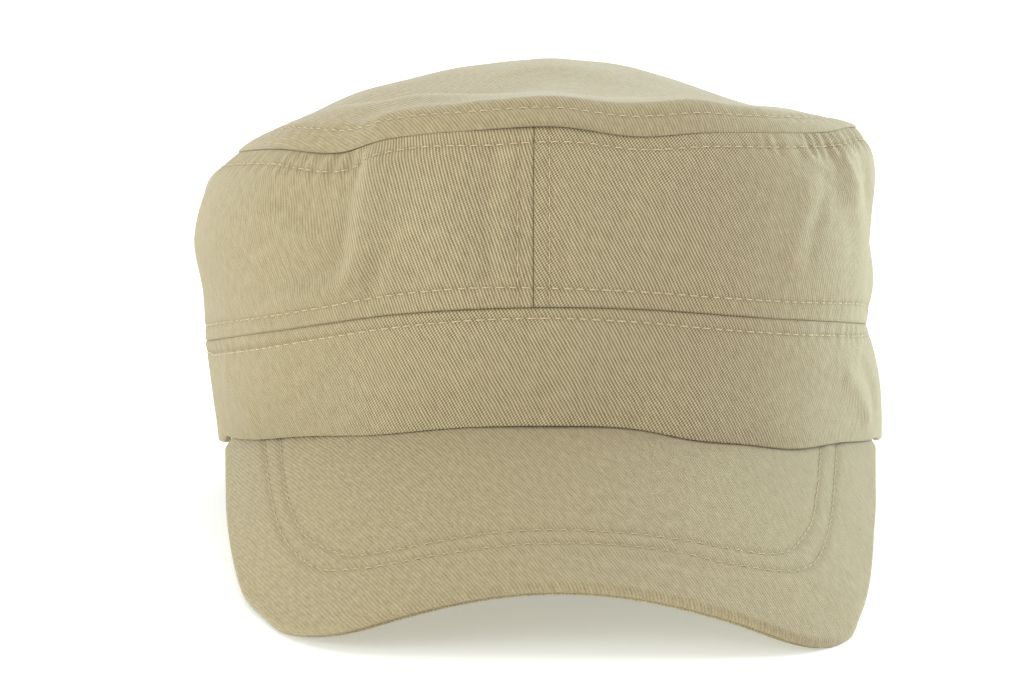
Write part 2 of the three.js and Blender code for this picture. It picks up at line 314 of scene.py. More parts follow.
def makeMesh(name, points, faces, uvs=None, marks=None):
    # points in mm in the cap's frame; uvs are one pair for each corner of each face
    mesh = bpy.data.meshes.new(name)
    mesh.from_pydata((np.asarray(points) * mm).tolist(), [], [list(map(int, face)) for face in faces])
    if uvs is not None:
        layer = mesh.uv_layers.new(name="cloth")
        layer.data.foreach_set("uv", np.asarray(uvs, np.float32).ravel())
    for key, values in (marks or {}).items():
        attribute = mesh.attributes.new(key, "FLOAT", "POINT")
        attribute.data.foreach_set("value", np.asarray(values, np.float32))
    mesh.transform(restMatrix)
    mesh.shade_smooth()
    mesh.update()
    piece = bpy.data.objects.new(name, mesh)
    bpy.context.scene.collection.objects.link(piece)
    return piece


def gridIndex(columns, rows):
    i, j = np.meshgrid(np.arange(columns), np.arange(rows), indexing="ij")
    return i.ravel(), j.ravel()


def gridFaces(start, columns, rows, loop, flip):
    # faces of a grid whose points run up each column in turn
    i, j = gridIndex(columns - (0 if loop else 1), rows - 1)
    corners = [(i, j), (i + 1, j), (i + 1, j + 1), (i, j + 1)]
    if flip:
        corners.reverse()
    points = np.stack([start + (a % columns) * rows + b for a, b in corners], 1)
    spots = np.stack([a * rows + b for a, b in corners], 1)  # the same in a grid that isn't wrapped
    return points, spots


def shellMesh(name, outer, inner, flatOuter, flatInner, loop, mark=None):
    # a closed cloth wall between an outer and an inner grid with the same columns
    # the flat coordinates have one more column than the points where the wall is a loop
    columns, rows = outer.shape[:2]
    innerRows = inner.shape[1]
    points = np.vstack([outer.reshape(-1, 3), inner.reshape(-1, 3)])
    start = columns * rows
    flat = np.vstack([flatOuter.reshape(-1, 2), flatInner.reshape(-1, 2)])
    flatStart = flatOuter.shape[0] * rows
    outFaces, outSpots = gridFaces(0, columns, rows, loop, False)
    inFaces, inSpots = gridFaces(start, columns, innerRows, loop, True)
    faces, spots = [outFaces, inFaces], [outSpots, inSpots + flatStart]
    i = np.arange(columns - (0 if loop else 1))
    for row, innerRow, flip in ((0, 0, False), (rows - 1, innerRows - 1, True)):
        for found, n, base in ((faces, (i + 1) % columns, start), (spots, i + 1, flatStart)):
            quad = [base + i * innerRows + innerRow, base + n * innerRows + innerRow, n * rows + row, i * rows + row]
            found.append(np.stack(quad[::-1] if flip else quad, 1))
    faces = np.vstack(faces).tolist()
    uvs = flat[np.vstack(spots).ravel()]
    if not loop:  # the two end walls, one face each
        for column, flip in ((0, False), (columns - 1, True)):
            ring = [start + column * innerRows + k for k in range(innerRows)]
            ring = [column * rows + k for k in reversed(range(rows))] + ring
            faces.append(ring if flip else ring[::-1])
            uvs = np.vstack([uvs, flat[[p if p < start else p - start + flatStart for p in faces[-1]]]])
    marks = None
    if mark is not None:
        # the mark is painted shade, on the outer face only
        marks = {"paintedShade": np.concatenate([mark.ravel(), np.zeros(columns * innerRows)])}
    return makeMesh(name, points, faces, uvs, marks)


def columnAngles(low, high, fine=0.38, coarse=0.75, reach=82, edge=None):
    # angles of the columns, close together in front and at a panel's ends
    marks = [low, *[a for a in (-reach, reach) if low < a < high], high]
    runs = []
    for a, b in zip(marks[:-1], marks[1:]):
        size = fine if abs(a + b) / 2 < reach else coarse
        runs.append(np.linspace(a, b, max(int(round((b - a) / size)), 1) + 1)[:-1])
    angles = np.concatenate([*runs, [high]])
    if edge is not None:
        extra = np.concatenate([low + np.array(edge), high - np.array(edge)])
        angles = np.unique(np.concatenate([angles, extra]))
    return angles


def placesUp(height, low, high, middle):
    # distances up a wall: close together by its lower and upper edges, even between them
    low, high = np.array(low)[None, :], np.array(high)[None, ::-1]
    t = np.linspace(0, 1, middle + 2)[None, 1:-1]
    first, last = low[:, -1:], height - high[:, :1]
    return np.hstack([low + 0 * height, first + (last - first) * t, height - high])


# grooves and painted shades are given as their width in mm, then how deep or how strong
bandLook = {
    "wall": 2.0,
    "rowUnderSeam": tableOf(  # the row of stitches: angle, mm down from the seam
        (-180, 2.6), (-60, 2.9), (-29, 2.7), (-3, 2.3), (11, 2.8), (26, 3.3), (54, 3.0), (90, 2.6), (180, 2.6)),
    "groove": (0.7, 0.22),
    "waves": [(0.35, 17, 3, 0.7, 0, 0.3), (0.12, 6, 4, 1, 0, 0.2)],
    "puckers": (4.6, 2, 14), "puckerHeight": 0.12, "puckerAngles": (25, 50),
    "fold": [  # ridges and hollows as lines of angle and height, then width and how far out
        ([(48, 20), (55, 14), (62, 6)], 3.0, 0.7),
        ([(55, 22), (62, 15), (67, 8)], 3.0, -0.7),
        ([(-62, 20), (-56, 12), (-50, 6)], 4.0, 0.5),
        ([(-30, 14), (-18, 17), (-6, 20)], 3.0, 0.3),
        ([(12, 14), (22, 17), (32, 22)], 3.0, 0.25),
    ],
    "flare": [(-24.5, 10, 1.3), (18, 6.5, 2.2)], "flareLevels": 0.4,  # where the hem stands out: angle, spread, mm
    "hemRoll": (0.5, 0.45), "seamRoll": 0.75, "seamDepth": (0.42, 0.24),  # in front, how much less at the sides
    "rowShade": (0.5, 0.35), "seamShade": (0.4, 0.75), "shadeLost": 0.6,
    "low": [0, 0.12, 0.3, 0.55, 0.85, 1.2, 1.7, 2.3],  # places of the points by the hem and the seam
    "high": [0, 0.12, 0.3, 0.5, 0.75, 1.0, 1.35, 1.7, 2.0, 2.3, 2.6, 2.9, 3.2, 3.6, 4.1, 4.8],
    "inside": [0, 0.3, 0.8], "rows": 26, "insideRows": 9,
    "insideRoll": (0.5, 0.4), "insideShare": 0.5,
}


def bandFlare(angle, level):
    return sum(bump(turnDegrees(angle - at), wide, out) for at, wide, out in bandLook["flare"]) * bump(
        level, bandLook["flareLevels"])


def bandOut(angle, level, points):
    # relief of the band's outer face, in mm outwards
    under = seamHeight("band", angle) - points[..., 2]
    row = byAngle(bandLook["rowUnderSeam"], angle)
    relief = addWaves(-bump(under - row, *bandLook["groove"]), points, bandLook["waves"], level)
    relief = relief + bandFlare(angle, level)
    sides = smoothStep(np.abs(turnDegrees(angle)), *bandLook["puckerAngles"])
    ripple = bandLook["puckerHeight"] * sides * puckers(roundLength(turnDegrees(angle)), bandLook["puckers"])
    relief = relief + ripple * (1 - smoothStep(under, row, row + 3)) * smoothStep(under, 0, 0.8)
    return relief + foldRelief(bandLook["fold"], angle, points[..., 2])


def bandSpot(angle, level):
    return wallPoint(angle, level, -bandOut(angle, level, wallPoint(angle, level)))


def makeBand():
    look = bandLook
    angles = columnAngles(-180, 180)[:-1]
    height = bandHeight(angles)[:, None]
    top = 1 - seamGap / 2 / height
    up = placesUp(height, look["low"], look["high"], look["rows"])
    level = up / height * top
    a = angles[:, None] + 0 * level
    plain = wallPoint(a, level)
    front, less = look["seamDepth"]
    roll = turnedEdge(up, *look["hemRoll"])
    roll = roll + turnedEdge(height - up, look["seamRoll"], front - less * towardsSides(a))
    outer = wallPoint(a, level, roll - bandOut(a, level, plain))
    innerUp = placesUp(height, look["inside"], look["inside"], look["insideRows"])
    innerLevel = innerUp / height * top
    b = angles[:, None] + 0 * innerLevel
    share = smoothStep(innerUp, 0, 2) * smoothStep(height - innerUp, 0, 2) * look["insideShare"]
    innerOut = share * bandOut(b, innerLevel, wallPoint(b, innerLevel)) + bandFlare(b, innerLevel) * (1 - share)
    inner = wallPoint(b, innerLevel, look["wall"] - turnedEdge(innerUp, *look["insideRoll"]) - innerOut)
    around = roundLength(np.append(angles, 180.0))[:, None]
    flat = []
    for sheet in (outer, inner):
        heights = np.vstack([sheet[..., 2], sheet[:1, :, 2]])
        flat.append(np.stack([around + 0 * heights, heights], -1))
    under = seamHeight("band", a) - plain[..., 2]
    # painted shade along the row of stitches, and by the band seam with less at the sides
    paintedShade = bump(under - byAngle(look["rowUnderSeam"], a), *look["rowShade"])
    paintedShade = paintedShade + (1 - look["shadeLost"] * towardsSides(a)) * bump(height - up, *look["seamShade"])
    return shellMesh("band_cloth", outer, inner, *flat, True, paintedShade)


# tables round the crown are by angle
crownLook = {
    "wall": 1.8,
    "frontSeam": -2.9,
    "besideSeam": 3.4,  # mm from an upright seam to its rows of stitches
    "rowOverBand": tableOf(
        (-180, 4.2), (-90, 3.8), (-52, 3.6), (-35, 3.6), (-23, 4.3), (-10, 4.6), (3, 4.0), (19, 3.7), (34, 4.0),
        (60, 4.6), (90, 4.4), (180, 4.2)),
    "rowUnderTop": tableOf(
        (-180, 3.4), (-70, 3.4), (-46, 3.5), (-38, 3.9), (-30, 4.4), (-26, 3.6), (-18, 2.9), (-8, 3.6), (0, 3.4),
        (6, 2.9), (18, 3.1), (36, 3.3), (60, 3.1), (180, 3.4)),
    "groove": (0.7, 0.24), "uprightGroove": (0.6, 0.16),
    "waves": [(0.3, 21, 8, 0.8), (0.14, 8, 9, 0.8)],
    "topPuckers": (4.5, 2.2, 12), "topPuckerHeight": 0.4, "topPuckerLean": 0.08,
    "lowPuckers": (4.3, 2.2, 12), "lowPuckerHeight": 0.05,
    "puckered": tableOf(  # how strong the puckers are round the top seam
        (-180, 0.5), (-60, 0.5), (-42, 0.7), (-37, 1.0), (-28, 1.0), (-24, 0.2), (0, 0.12), (22, 0.2), (32, 0.6),
        (42, 0.95), (62, 0.95), (90, 0.5), (180, 0.4)),
    "overhang": tableOf(  # how far the top panel's edge hangs over the crown
        (-180, 0.1), (-16, 0.1), (-8, 0.4), (-3, 0.6), (4, 0.5), (9, 0.25), (16, 0.1), (180, 0.1)),
    "topSeam": tableOf(  # how deep the seam between them is
        (-180, 0.3), (-70, 0.1), (-50, 0.1), (-41, 0.3), (-33, 0.3), (-25, 0.06), (-10, 0.1), (-5, 0.4), (3, 0.38),
        (8, 0.2), (14, 0.12), (32, 0.08), (45, 0.1), (60, 0.1), (90, 0.1), (180, 0.3)),
    # angle, height, spreads of both, how far out
    "swell": [(-13.5, 53, 6.5, 15, 2.4), (-35, 54, 6, 8, -0.5), (30, 50, 8, 20, 0.3)],
    # path of angle and height, shape across it, strength, width, heights between which it fades in and out
    "creases": [
        ([(-26.6, 70), (-25.9, 65.6), (-25.7, 62.6), (-26.2, 57.8), (-26.5, 53.4), (-27.0, 49.1), (-27.5, 45.1),
          (-28.6, 41.4), (-30.6, 38), (-33, 35.5)], "ridge", 1.7, 1.0, (70, 65, 42.5, 35.5)),
        ([(-6.4, 71), (-6.8, 66.1), (-7.3, 59.4), (-7.6, 54), (-7.4, 48.9), (-7.1, 43.5), (-7.1, 36)],
         "ridge", 0.3, 0.6, (71, 67, 41, 36)),
        ([(-19.7, 55), (-20.4, 48.4), (-21.7, 44.3), (-22.7, 40.3), (-23.4, 35)],
         "ridge", 0.3, 0.6, (55, 47, 39, 35)),
        ([(-47, 60), (-43.8, 57.2), (-39.8, 53.3), (-35.5, 49.7), (-32.2, 47.3), (-29, 45)],
         "step", 0.9, 1.0, (61, 56, 49, 45)),
    ],
    "ridge": tableOf(
        (-20, 0), (-13, -0.3), (-8, -0.85), (-4.4, -1.35), (-2.4, -1.1), (-0.4, 0.3), (1.2, 1.2), (3, 1.4),
        (6, 1.15), (10, 0.6), (15, 0.15), (20, 0)),
    "step": tableOf((-12, 0), (-6, 0.25), (-2, 0.42), (1, 0.3), (5, -0.2), (9, -0.4), (14, -0.2), (20, 0)),
    "fold": [
        ([(-25.2, 35.5), (-24.6, 39.1), (-23.9, 42.8), (-22.9, 47.2)], 1.7, -0.25),
        ([(-46, 59), (-41, 55.5), (-36.5, 51.8), (-31.5, 48)], 2.6, 0.5),
        ([(1.3, 50), (1.4, 43.3), (1.7, 36.5)], 1.6, -0.35),
        ([(18.6, 67), (15.8, 62.2), (13, 57.9), (9.4, 52.6)], 3.0, 0.45),
        ([(36.4, 75), (37, 71), (38, 68.4), (41, 66), (44.8, 63.5)], 1.2, 0.5),
        ([(42, 72), (43.5, 69.5), (46.5, 65)], 1.7, -0.45),
        ([(48.5, 76), (47.7, 70), (49, 65), (52.5, 60.5)], 1.4, 0.3),
        ([(53, 76.5), (52, 70), (54, 63)], 1.4, 0.25),
        ([(33, 62), (39.5, 61.3), (47, 60.3), (53, 59.5)], 2.4, 0.35),
        ([(38.2, 63), (37.2, 59.5), (35.6, 52.7), (34, 46.8), (33.4, 42)], 2.4, 0.35),
        ([(42, 63), (41, 59.5), (39.2, 52.7), (37.8, 46.8), (37.2, 42)], 2.0, -0.4),
        ([(48, 57), (49.5, 47), (48, 38)], 4.0, -0.2),
        ([(-9, 70), (-7.5, 67), (-5.5, 65.5)], 1.6, -0.35),
    ],
    "lowRoll": (0.8, 0.35), "topRoll": 0.9, "uprightRoll": (0.5, 0.4), "deepest": 1.0,
    # the shades are painted shade along the rows and seams: width in mm, then how strong
    "rowShade": (0.5, 0.35), "lowShade": (0.3, 0.6), "topShade": (0.5, 0.8), "shadeLost": 0.6,
    "uprightShade": (0.3, 0.55), "besideShade": (0.45, 0.25),
    "low": [0, 0.12, 0.3, 0.5, 0.75, 1.05, 1.5, 2.0, 2.6, 3.0, 3.4, 3.8, 4.2, 4.6, 5.0, 5.5, 6.2],
    "high": [0, 0.12, 0.3, 0.5, 0.75, 1.05, 1.5, 2.0, 2.4, 2.8, 3.2, 3.6, 4.0, 4.4, 4.8, 5.4, 6.2],
    "ends": [0.04, 0.1, 0.18, 0.28],  # columns by the upright seams, in degrees
    "inside": [0, 0.3, 0.8], "rows": 36, "insideRows": 12, "insideShare": 0.85,
}


def besideUpright(angle):
    # distance in mm from the nearest of the two upright seams
    u = roundLength(turnDegrees(angle))
    front = np.abs(u - roundLength(crownLook["frontSeam"]))
    back = np.minimum(np.abs(roundLength(180) - u), np.abs(u - roundLength(-180)))
    return np.minimum(front, back)


def creaseRelief(angle, z):
    u = roundLength(angle)
    total = 0
    for path, shape, strength, width, fade in crownLook["creases"]:
        distance, _ = fromPath(u, z, smoothPath([(roundLength(a), h) for a, h in path], 1.5))
        ends = (1 - smoothStep(z, fade[1], fade[0])) * smoothStep(z, fade[3], fade[2])
        total = total + strength * readTable(crownLook[shape], 1, distance / width) * ends
    return total


def crownOut(angle, points):
    # relief of the crown's outer face, in mm outwards
    look = crownLook
    z = points[..., 2]
    over, under = z - seamHeight("band", angle), seamHeight("top", angle) - z
    lowRow, highRow = byAngle(look["rowOverBand"], angle), byAngle(look["rowUnderTop"], angle)
    relief = -bump(over - lowRow, *look["groove"]) - bump(under - highRow, *look["groove"])
    relief = relief - bump(besideUpright(angle) - look["besideSeam"], *look["uprightGroove"])
    u = roundLength(angle)
    ripple = puckers(u, look["topPuckers"], look["topPuckerLean"] * under) * byAngle(look["puckered"], angle)
    reach = (1 - smoothStep(under, highRow + 0.3, highRow + 4)) * smoothStep(under, -0.2, 0.8)
    relief = relief + look["topPuckerHeight"] * ripple * reach
    reach = (1 - smoothStep(over, lowRow, lowRow + 3)) * smoothStep(over, 0, 0.8)
    relief = relief + look["lowPuckerHeight"] * puckers(u, look["lowPuckers"]) * reach
    relief = addWaves(relief, points, look["waves"])
    for at, middle, wide, tall, out in look["swell"]:
        relief = relief + bump(turnDegrees(angle - at), wide, out) * bump(z - middle, tall)
    return relief + creaseRelief(angle, z) + foldRelief(look["fold"], angle, z)


def crownSpot(angle, level):
    return wallPoint(angle, level, -crownOut(angle, wallPoint(angle, level)))


def makeCrown(name, first, last):
    look = crownLook
    short = math.degrees(seamGap / 2 / meanRadius)
    angles = columnAngles(first + short, last - short, edge=look["ends"])
    height = (seamHeight("top", angles) - seamHeight("band", angles))[:, None]
    low, span = 1 + seamGap / 2 / height, 1 - seamGap / height
    up = placesUp(height, look["low"], look["high"], look["rows"])
    under = height - up
    level = low + up / height * span
    a = angles[:, None] + 0 * level
    beside = besideUpright(a)
    depth = byAngle(look["topSeam"], a)
    roll = turnedEdge(up, *look["lowRoll"]) + turnedEdge(under, look["topRoll"], depth)
    roll = np.minimum(roll + turnedEdge(beside, *look["uprightRoll"]), look["deepest"])
    outer = wallPoint(a, level, roll - crownOut(a, wallPoint(a, level)))
    innerUp = placesUp(height, look["inside"], look["inside"], look["insideRows"])
    innerLevel = low + innerUp / height * span
    b = angles[:, None] + 0 * innerLevel
    share = look["insideShare"] * smoothStep(innerUp, 0, 3) * smoothStep(height - innerUp, 0, 5)
    inner = wallPoint(b, innerLevel, look["wall"] - share * crownOut(b, wallPoint(b, innerLevel)))
    u = roundLength(angles)[:, None]
    flat = [np.stack([u + 0 * sheet[..., 2], sheet[..., 2]], -1) for sheet in (outer, inner)]
    # painted shade along the rows of stitches, the band seam, the top seam by its depth, and the upright seams
    paintedShade = bump(up - byAngle(look["rowOverBand"], a), *look["rowShade"])
    paintedShade = paintedShade + bump(under - byAngle(look["rowUnderTop"], a), *look["rowShade"])
    paintedShade = paintedShade + (1 - look["shadeLost"] * towardsSides(a)) * bump(up, *look["lowShade"])
    paintedShade = paintedShade + depth * bump(under, *look["topShade"]) + bump(beside, *look["uprightShade"])
    paintedShade = paintedShade + bump(beside - look["besideSeam"], *look["besideShade"])
    return shellMesh(name, outer, inner, *flat, False, np.clip(paintedShade, 0, 1))


topLook = {
    # how high the panel stands over its seam, by the share of the way out, at every 45 degrees from the front
    "rings": [
        (0.25, 19.3, 19.3, 21.4, 21.8, 22.1, 21.9, 21.3, 19.2),
        (0.45, 13.2, 13.6, 16.6, 18.7, 19.7, 18.9, 18.1, 13.7),
        (0.62, 9.4, 9.3, 11.4, 14.4, 15.4, 15.4, 14.8, 8.6),
        (0.8, 7.3, 6.7, 5.9, 8.3, 9.0, 9.5, 8.7, 7.8),
        (0.92, 3.2, 3.0, 2.3, 3.6, 4.0, 4.2, 3.9, 4.4),
    ],
    "height": 22.8, "meanSeam": 74, "lip": 1.2, "wall": 1.8,
    "puffs": [(-30, 0.8, 18, 0.1, 2.6), (-60, 0.66, 22, 0.12, -1.2)],  # angle, share, spreads of both, mm up
    # in front it stands up steeply from the seam: mm higher by mm in from it, and how strongly by angle
    "rim": tableOf((0, 0), (2.5, 2.4), (5.5, 4.0), (9, 3.4), (18, 1.0), (30, 0)),
    "rimStrength": tableOf(
        (-180, 0), (-75, 0), (-50, 0.3), (-25, 0.6), (-6, 0.94), (8, 1.08), (15, 1.2), (21, 1.18), (28, 0.95),
        (36, 0.75), (48, 0.4), (70, 0), (180, 0)),
    "rowIn": tableOf(  # the row of stitches: angle, mm in from the seam
        (-180, 7.8), (-75, 7.5), (-50, 5), (-25, 3.7), (0, 2.7), (30, 2.7), (48, 4), (70, 7.5), (180, 7.8)),
    "groove": (0.8, 0.28),
    "waves": [(0.5, 24, 21, 0.3, 2, 12), (0.16, 8, 22, 0.3, 1, 6)],
    "puckers": (5.2, 2.5, 12), "puckerHeight": 0.12,
    # radius and depth of the turned edge, each with what a full overhang takes off
    "edgeRadius": (3.4, 1.7), "edgeDepth": (1.05, 0.15), "overhangReach": 3.5, "clear": 0.12,
    "insidePush": 0.9,
    # painted shade along the row and the seam: width in mm, then how strong
    "rowShade": (0.4, 0.3), "seamShade": (0.3, 0.6),
}


def topRise(share, angle):
    turnAt = (angle % 360) / 45
    first = np.floor(turnAt).astype(int)
    s = turnAt - first
    rings = topLook["rings"]
    curves = []
    for column in range(1, len(rings[0])):
        rows = [(-rings[0][0], rings[0][column]), (0, topLook["height"])]
        rows += [(ring[0], ring[column]) for ring in rings] + [(1, topLook["lip"])]
        curves.append(readTable(tableOf(*rows), 1, share))
    near = [(first + n) % len(curves) for n in (-1, 0, 1, 2)]
    before, low, high, after = [np.take_along_axis(np.array(curves), at[None], 0)[0] for at in near]
    bend = s * (1 - s) * 0.5 * ((high - before) * (1 - s) - (after - low) * s)
    return low + (high - low) * s * s * (3 - 2 * s) + bend


def topSeamPlan(angle):
    return wallPlan(turnDegrees(angle), np.full(np.shape(angle), 2.0))


def topPlain(angle, share, under=False):
    angle, share = np.broadcast_arrays(angle, share)
    x, y = topSeamPlan(angle)
    seam = seamHeight("top", angle)
    z = topLook["meanSeam"] + (seam - topLook["meanSeam"]) * share ** 3 + topRise(share, angle)
    for at, middle, wide, tall, up in topLook["puffs"]:
        across, along = turnDegrees(angle - at) / wide, (share - middle) / tall
        z = z + up * np.exp(-across * across - along * along)
    if under:
        z = np.maximum(z - topLook["wall"], seam + seamGap / 2)
    return np.stack([x * share, y * share, z], -1)


def edgeDistance(angle, share):
    # mm from the top panel's edge, in plan
    return np.hypot(*topSeamPlan(angle)) * (1 - share)


def topUp(angle, share, points):
    # relief of the panel's upper face, in mm upwards
    look = topLook
    away = edgeDistance(angle, share)
    row = byAngle(look["rowIn"], angle)
    relief = -bump(away - row, *look["groove"])
    relief = relief + readTable(look["rim"], 1, away) * byAngle(look["rimStrength"], angle)
    relief = addWaves(relief, points, look["waves"], away)
    ripple = byAngle(crownLook["puckered"], angle) * puckers(roundLength(turnDegrees(angle)), look["puckers"])
    reach = smoothStep(away, 0.5, 3) * (1 - smoothStep(away, row, row + 4))
    return relief + look["puckerHeight"] * ripple * reach


def topPush(angle, away):
    # how far the edge is pushed out over the crown
    return byAngle(crownLook["overhang"], angle) * (1 - smoothStep(away, 0, topLook["overhangReach"]))


def topSpot(angle, share):
    # a place on the panel's upper face, with its turned-in edge
    angle, share = np.broadcast_arrays(angle, share)
    point = topPlain(angle, share)
    away = edgeDistance(angle, share)
    overhang = byAngle(crownLook["overhang"], angle)
    radius, depth = [full - less * overhang for full, less in (topLook["edgeRadius"], topLook["edgeDepth"])]
    size = np.hypot(point[..., 0], point[..., 1])
    out = point[..., :2] * (1 + topPush(angle, away) / size)[..., None]
    height = point[..., 2] + topUp(angle, share, point) - turnedEdge(away, radius, depth)
    height = np.maximum(height, seamHeight("top", angle) + seamGap / 2 + topLook["clear"])
    return np.concatenate([out, height[..., None]], -1)


def laidFlat(sheet):
    # flat coordinates of a domed sheet, true along each line from its middle
    steps = np.linalg.norm(sheet[:, 1:] - sheet[:, :-1], axis=2)
    size = np.hypot(sheet[..., 0], sheet[..., 1])
    reach = np.hstack([size[:, :1], size[:, :1] + np.cumsum(steps, 1)])
    return (sheet[..., :2] / size[..., None] * reach[..., None]).reshape(-1, 2)


def makeTop():
    angles = columnAngles(-180, 180)[:-1]
    shares = np.concatenate([  # of the way out, closer together towards the edge
        [0.02, 0.05, 0.09], np.linspace(0.13, 0.84, 34), np.linspace(0.85, 0.935, 12),
        np.linspace(0.94, 0.985, 14), [0.988, 0.991, 0.9935, 0.996, 0.998, 0.9992, 1.0]])
    a, s = np.meshgrid(angles, shares, indexing="ij")
    outer = topSpot(a, s)
    away = edgeDistance(a, s)
    innerShares = np.concatenate([[0.02], np.linspace(0.1, 0.9, 14), [0.95, 0.98, 1.0]])
    b, t = np.meshgrid(angles, innerShares, indexing="ij")
    inner = topPlain(b, t, True)
    innerAway = edgeDistance(b, t)
    inner[..., 2] += smoothStep(innerAway, 3, 14) * topUp(b, t, inner)
    push = topPush(b, innerAway) * topLook["insidePush"] / np.hypot(inner[..., 0], inner[..., 1])
    inner[..., :2] += inner[..., :2] * push[..., None]
    middles = [sheet[:, 0].mean(0) for sheet in (outer, inner)]
    flat = np.vstack([laidFlat(outer), laidFlat(inner), [(0, 0), (0, 0)]])
    points = np.vstack([outer.reshape(-1, 3), inner.reshape(-1, 3), middles])
    columns, rows, innerRows = len(angles), len(shares), len(innerShares)
    start, middle = columns * rows, columns * (rows + innerRows)
    outFaces, _ = gridFaces(0, columns, rows, True, True)
    inFaces, _ = gridFaces(start, columns, innerRows, True, False)
    i = np.arange(columns)
    n = (i + 1) % columns
    last, innerLast = rows - 1, start + innerRows - 1
    rim = [innerLast + i * innerRows, innerLast + n * innerRows, last + n * rows, last + i * rows]
    fan = [i * rows, n * rows, np.full(columns, middle)]
    innerFan = [start + n * innerRows, start + i * innerRows, np.full(columns, middle + 1)]
    faces = [*outFaces.tolist(), *inFaces.tolist()]
    for ring in (rim, fan, innerFan):
        faces += np.stack(ring, 1).tolist()
    corners = np.concatenate([np.asarray(face) for face in faces])
    # painted shade along the row of stitches, and by the seam as deep as the seam is
    shade = bump(away - byAngle(topLook["rowIn"], a), *topLook["rowShade"])
    shade = shade + byAngle(crownLook["topSeam"], a) * bump(away, *topLook["seamShade"])
    paintedShade = np.zeros(len(points))
    paintedShade[:start] = np.clip(shade, 0, 1).ravel()
    return makeMesh("crown_top_cloth", points, faces, flat[corners], {"paintedShade": paintedShade})


peakLook = {
    # forward from the cap's middle, half widths of the rim at -X and +X
    "outline": [
        (35.5, 79.4, 79.1), (52, 77.2, 76.4), (66, 75.3, 74.2), (80, 72.9, 71.6), (94, 70.0, 69.0),
        (107, 66.6, 66.1), (117.5, 62.2, 63.0), (127.8, 57.0, 59.4), (135.0, 50.6, 54.0),
        (140.0, 42.6, 46.0), (142.2, 32.4, 33.4), (143.1, 17.0, 17.0),
    ],
    "upper": 2.0, "under": 1.0, "underInset": 0.8,
    "outerRow": [  # the rows of stitches: across, forward
        (-69.5, 38), (-67.1, 56.8), (-62.3, 84.8), (-57.2, 103), (-50.3, 116.8), (-43, 123.5), (-34, 127.6),
        (-18.7, 130.2), (4, 130.6), (26.4, 129), (35.3, 127.3), (46.2, 122.0), (53.5, 112.8), (58.2, 98.8),
        (61, 86.8), (65.8, 59.5), (68.5, 40)],
    "innerRow": [
        (-64.8, 42), (-63, 61.5), (-59.2, 85), (-53.5, 104), (-44.4, 118), (-37, 122.6), (-26.5, 125.3),
        (-11, 126.4), (8, 126.7), (26.8, 125.0), (38.6, 121.6), (44.4, 118.2), (49.1, 112.6), (54.4, 100),
        (57.3, 87.8), (61.2, 66), (63.6, 45)],
    # rowShade is how strong the painted shade along the rows of stitches is
    "groove": 0.2, "grooveWidth": 0.75, "underGroove": 0.5, "rowShade": 0.3,
    "waves": [(0.35, 30, 31, 1), (0.1, 9, 32, 1)],
    "allowance": [(-10, 134), (15, 133.5), (32, 131), (46, 124)],  # a soft step over the turned-in edge
    "allowanceStep": (1.3, 0.2),
    "columns": 560, "underColumns": 300,
    "rimRoll": (1.1, 1.35), "underRoll": (0.6, 0.4), "insideRoll": (0.5, 0.3),
}


def frontPath(name, step=0.3):
    return smoothPath([(x, -forward) for x, forward in peakLook[name]], step)


peakRows = [frontPath(name) for name in ("outerRow", "innerRow")]


def peakRim(count):
    # the rim in plan from its left end round the front, at equal steps
    left = [(-l, -f) for f, l, r in peakLook["outline"]]
    right = [(r, -f) for f, l, r in reversed(peakLook["outline"])]
    p = np.array(left + right, float)
    return evenPath(curveThrough(np.vstack([p[0], p, p[-1]]), 200), count=count)


def peakPlace(x, y, depth):
    # a point of the peak over a place in plan, a depth below its upper face
    across = x / np.sqrt(peakShape["radius"] ** 2 - x ** 2)
    normal = np.stack([across, np.full(np.shape(x), -peakFall), np.ones(np.shape(x))], -1)
    normal /= np.linalg.norm(normal, axis=-1)[..., None]
    point = np.stack([x, y, peakHeight(x, y)], -1) - normal * np.asarray(depth)[..., None]
    point[..., 2] = np.maximum(point[..., 2], floorHeight(point[..., 0], point[..., 1]))
    return point, normal


def peakUp(x, y):
    # relief of the peak's upper face and how deep the stitches sit
    relief = addWaves(0, np.stack([x, y, 0 * x], -1), peakLook["waves"])
    distance, along = fromPath(x, y, frontPath("allowance", 3))
    ends = smoothStep(along, 0, 0.25) * (1 - smoothStep(along, 0.75, 1))
    relief = relief - bump(distance, *peakLook["allowanceStep"]) * ends
    sunk = sum(bump(fromPath(x, y, line[::8])[0], peakLook["grooveWidth"]) for line in peakRows)
    return relief - peakLook["groove"] * sunk, sunk


def peakFlat(point):
    # the bent sheet laid flat
    radius = peakShape["radius"]
    u = radius * np.arcsin(np.clip(point[..., 0] / radius, -1, 1))
    return np.stack([u, point[..., 1] / math.cos(math.radians(peakShape["slope"]))], -1)


def peakGrid(columns, shares, inset=0.0):
    # places in plan from the rim to the tucked root, and mm from the rim
    rim = peakRim(columns)
    angle = peakShape["endAngle"] * np.linspace(-1, 1, columns)
    root = np.stack(insetPlan(angle, 0 * angle, bandLook["wall"] + peakShape["tuck"]), 1)
    way = root - rim
    edge = rim + way / np.linalg.norm(way, axis=1)[:, None] * inset
    plan = edge[:, None] + (root - edge)[:, None] * shares[None, :, None]
    away = np.linalg.norm(root - edge, axis=1)[:, None] * shares[None, :]
    return plan[..., 0], plan[..., 1], away


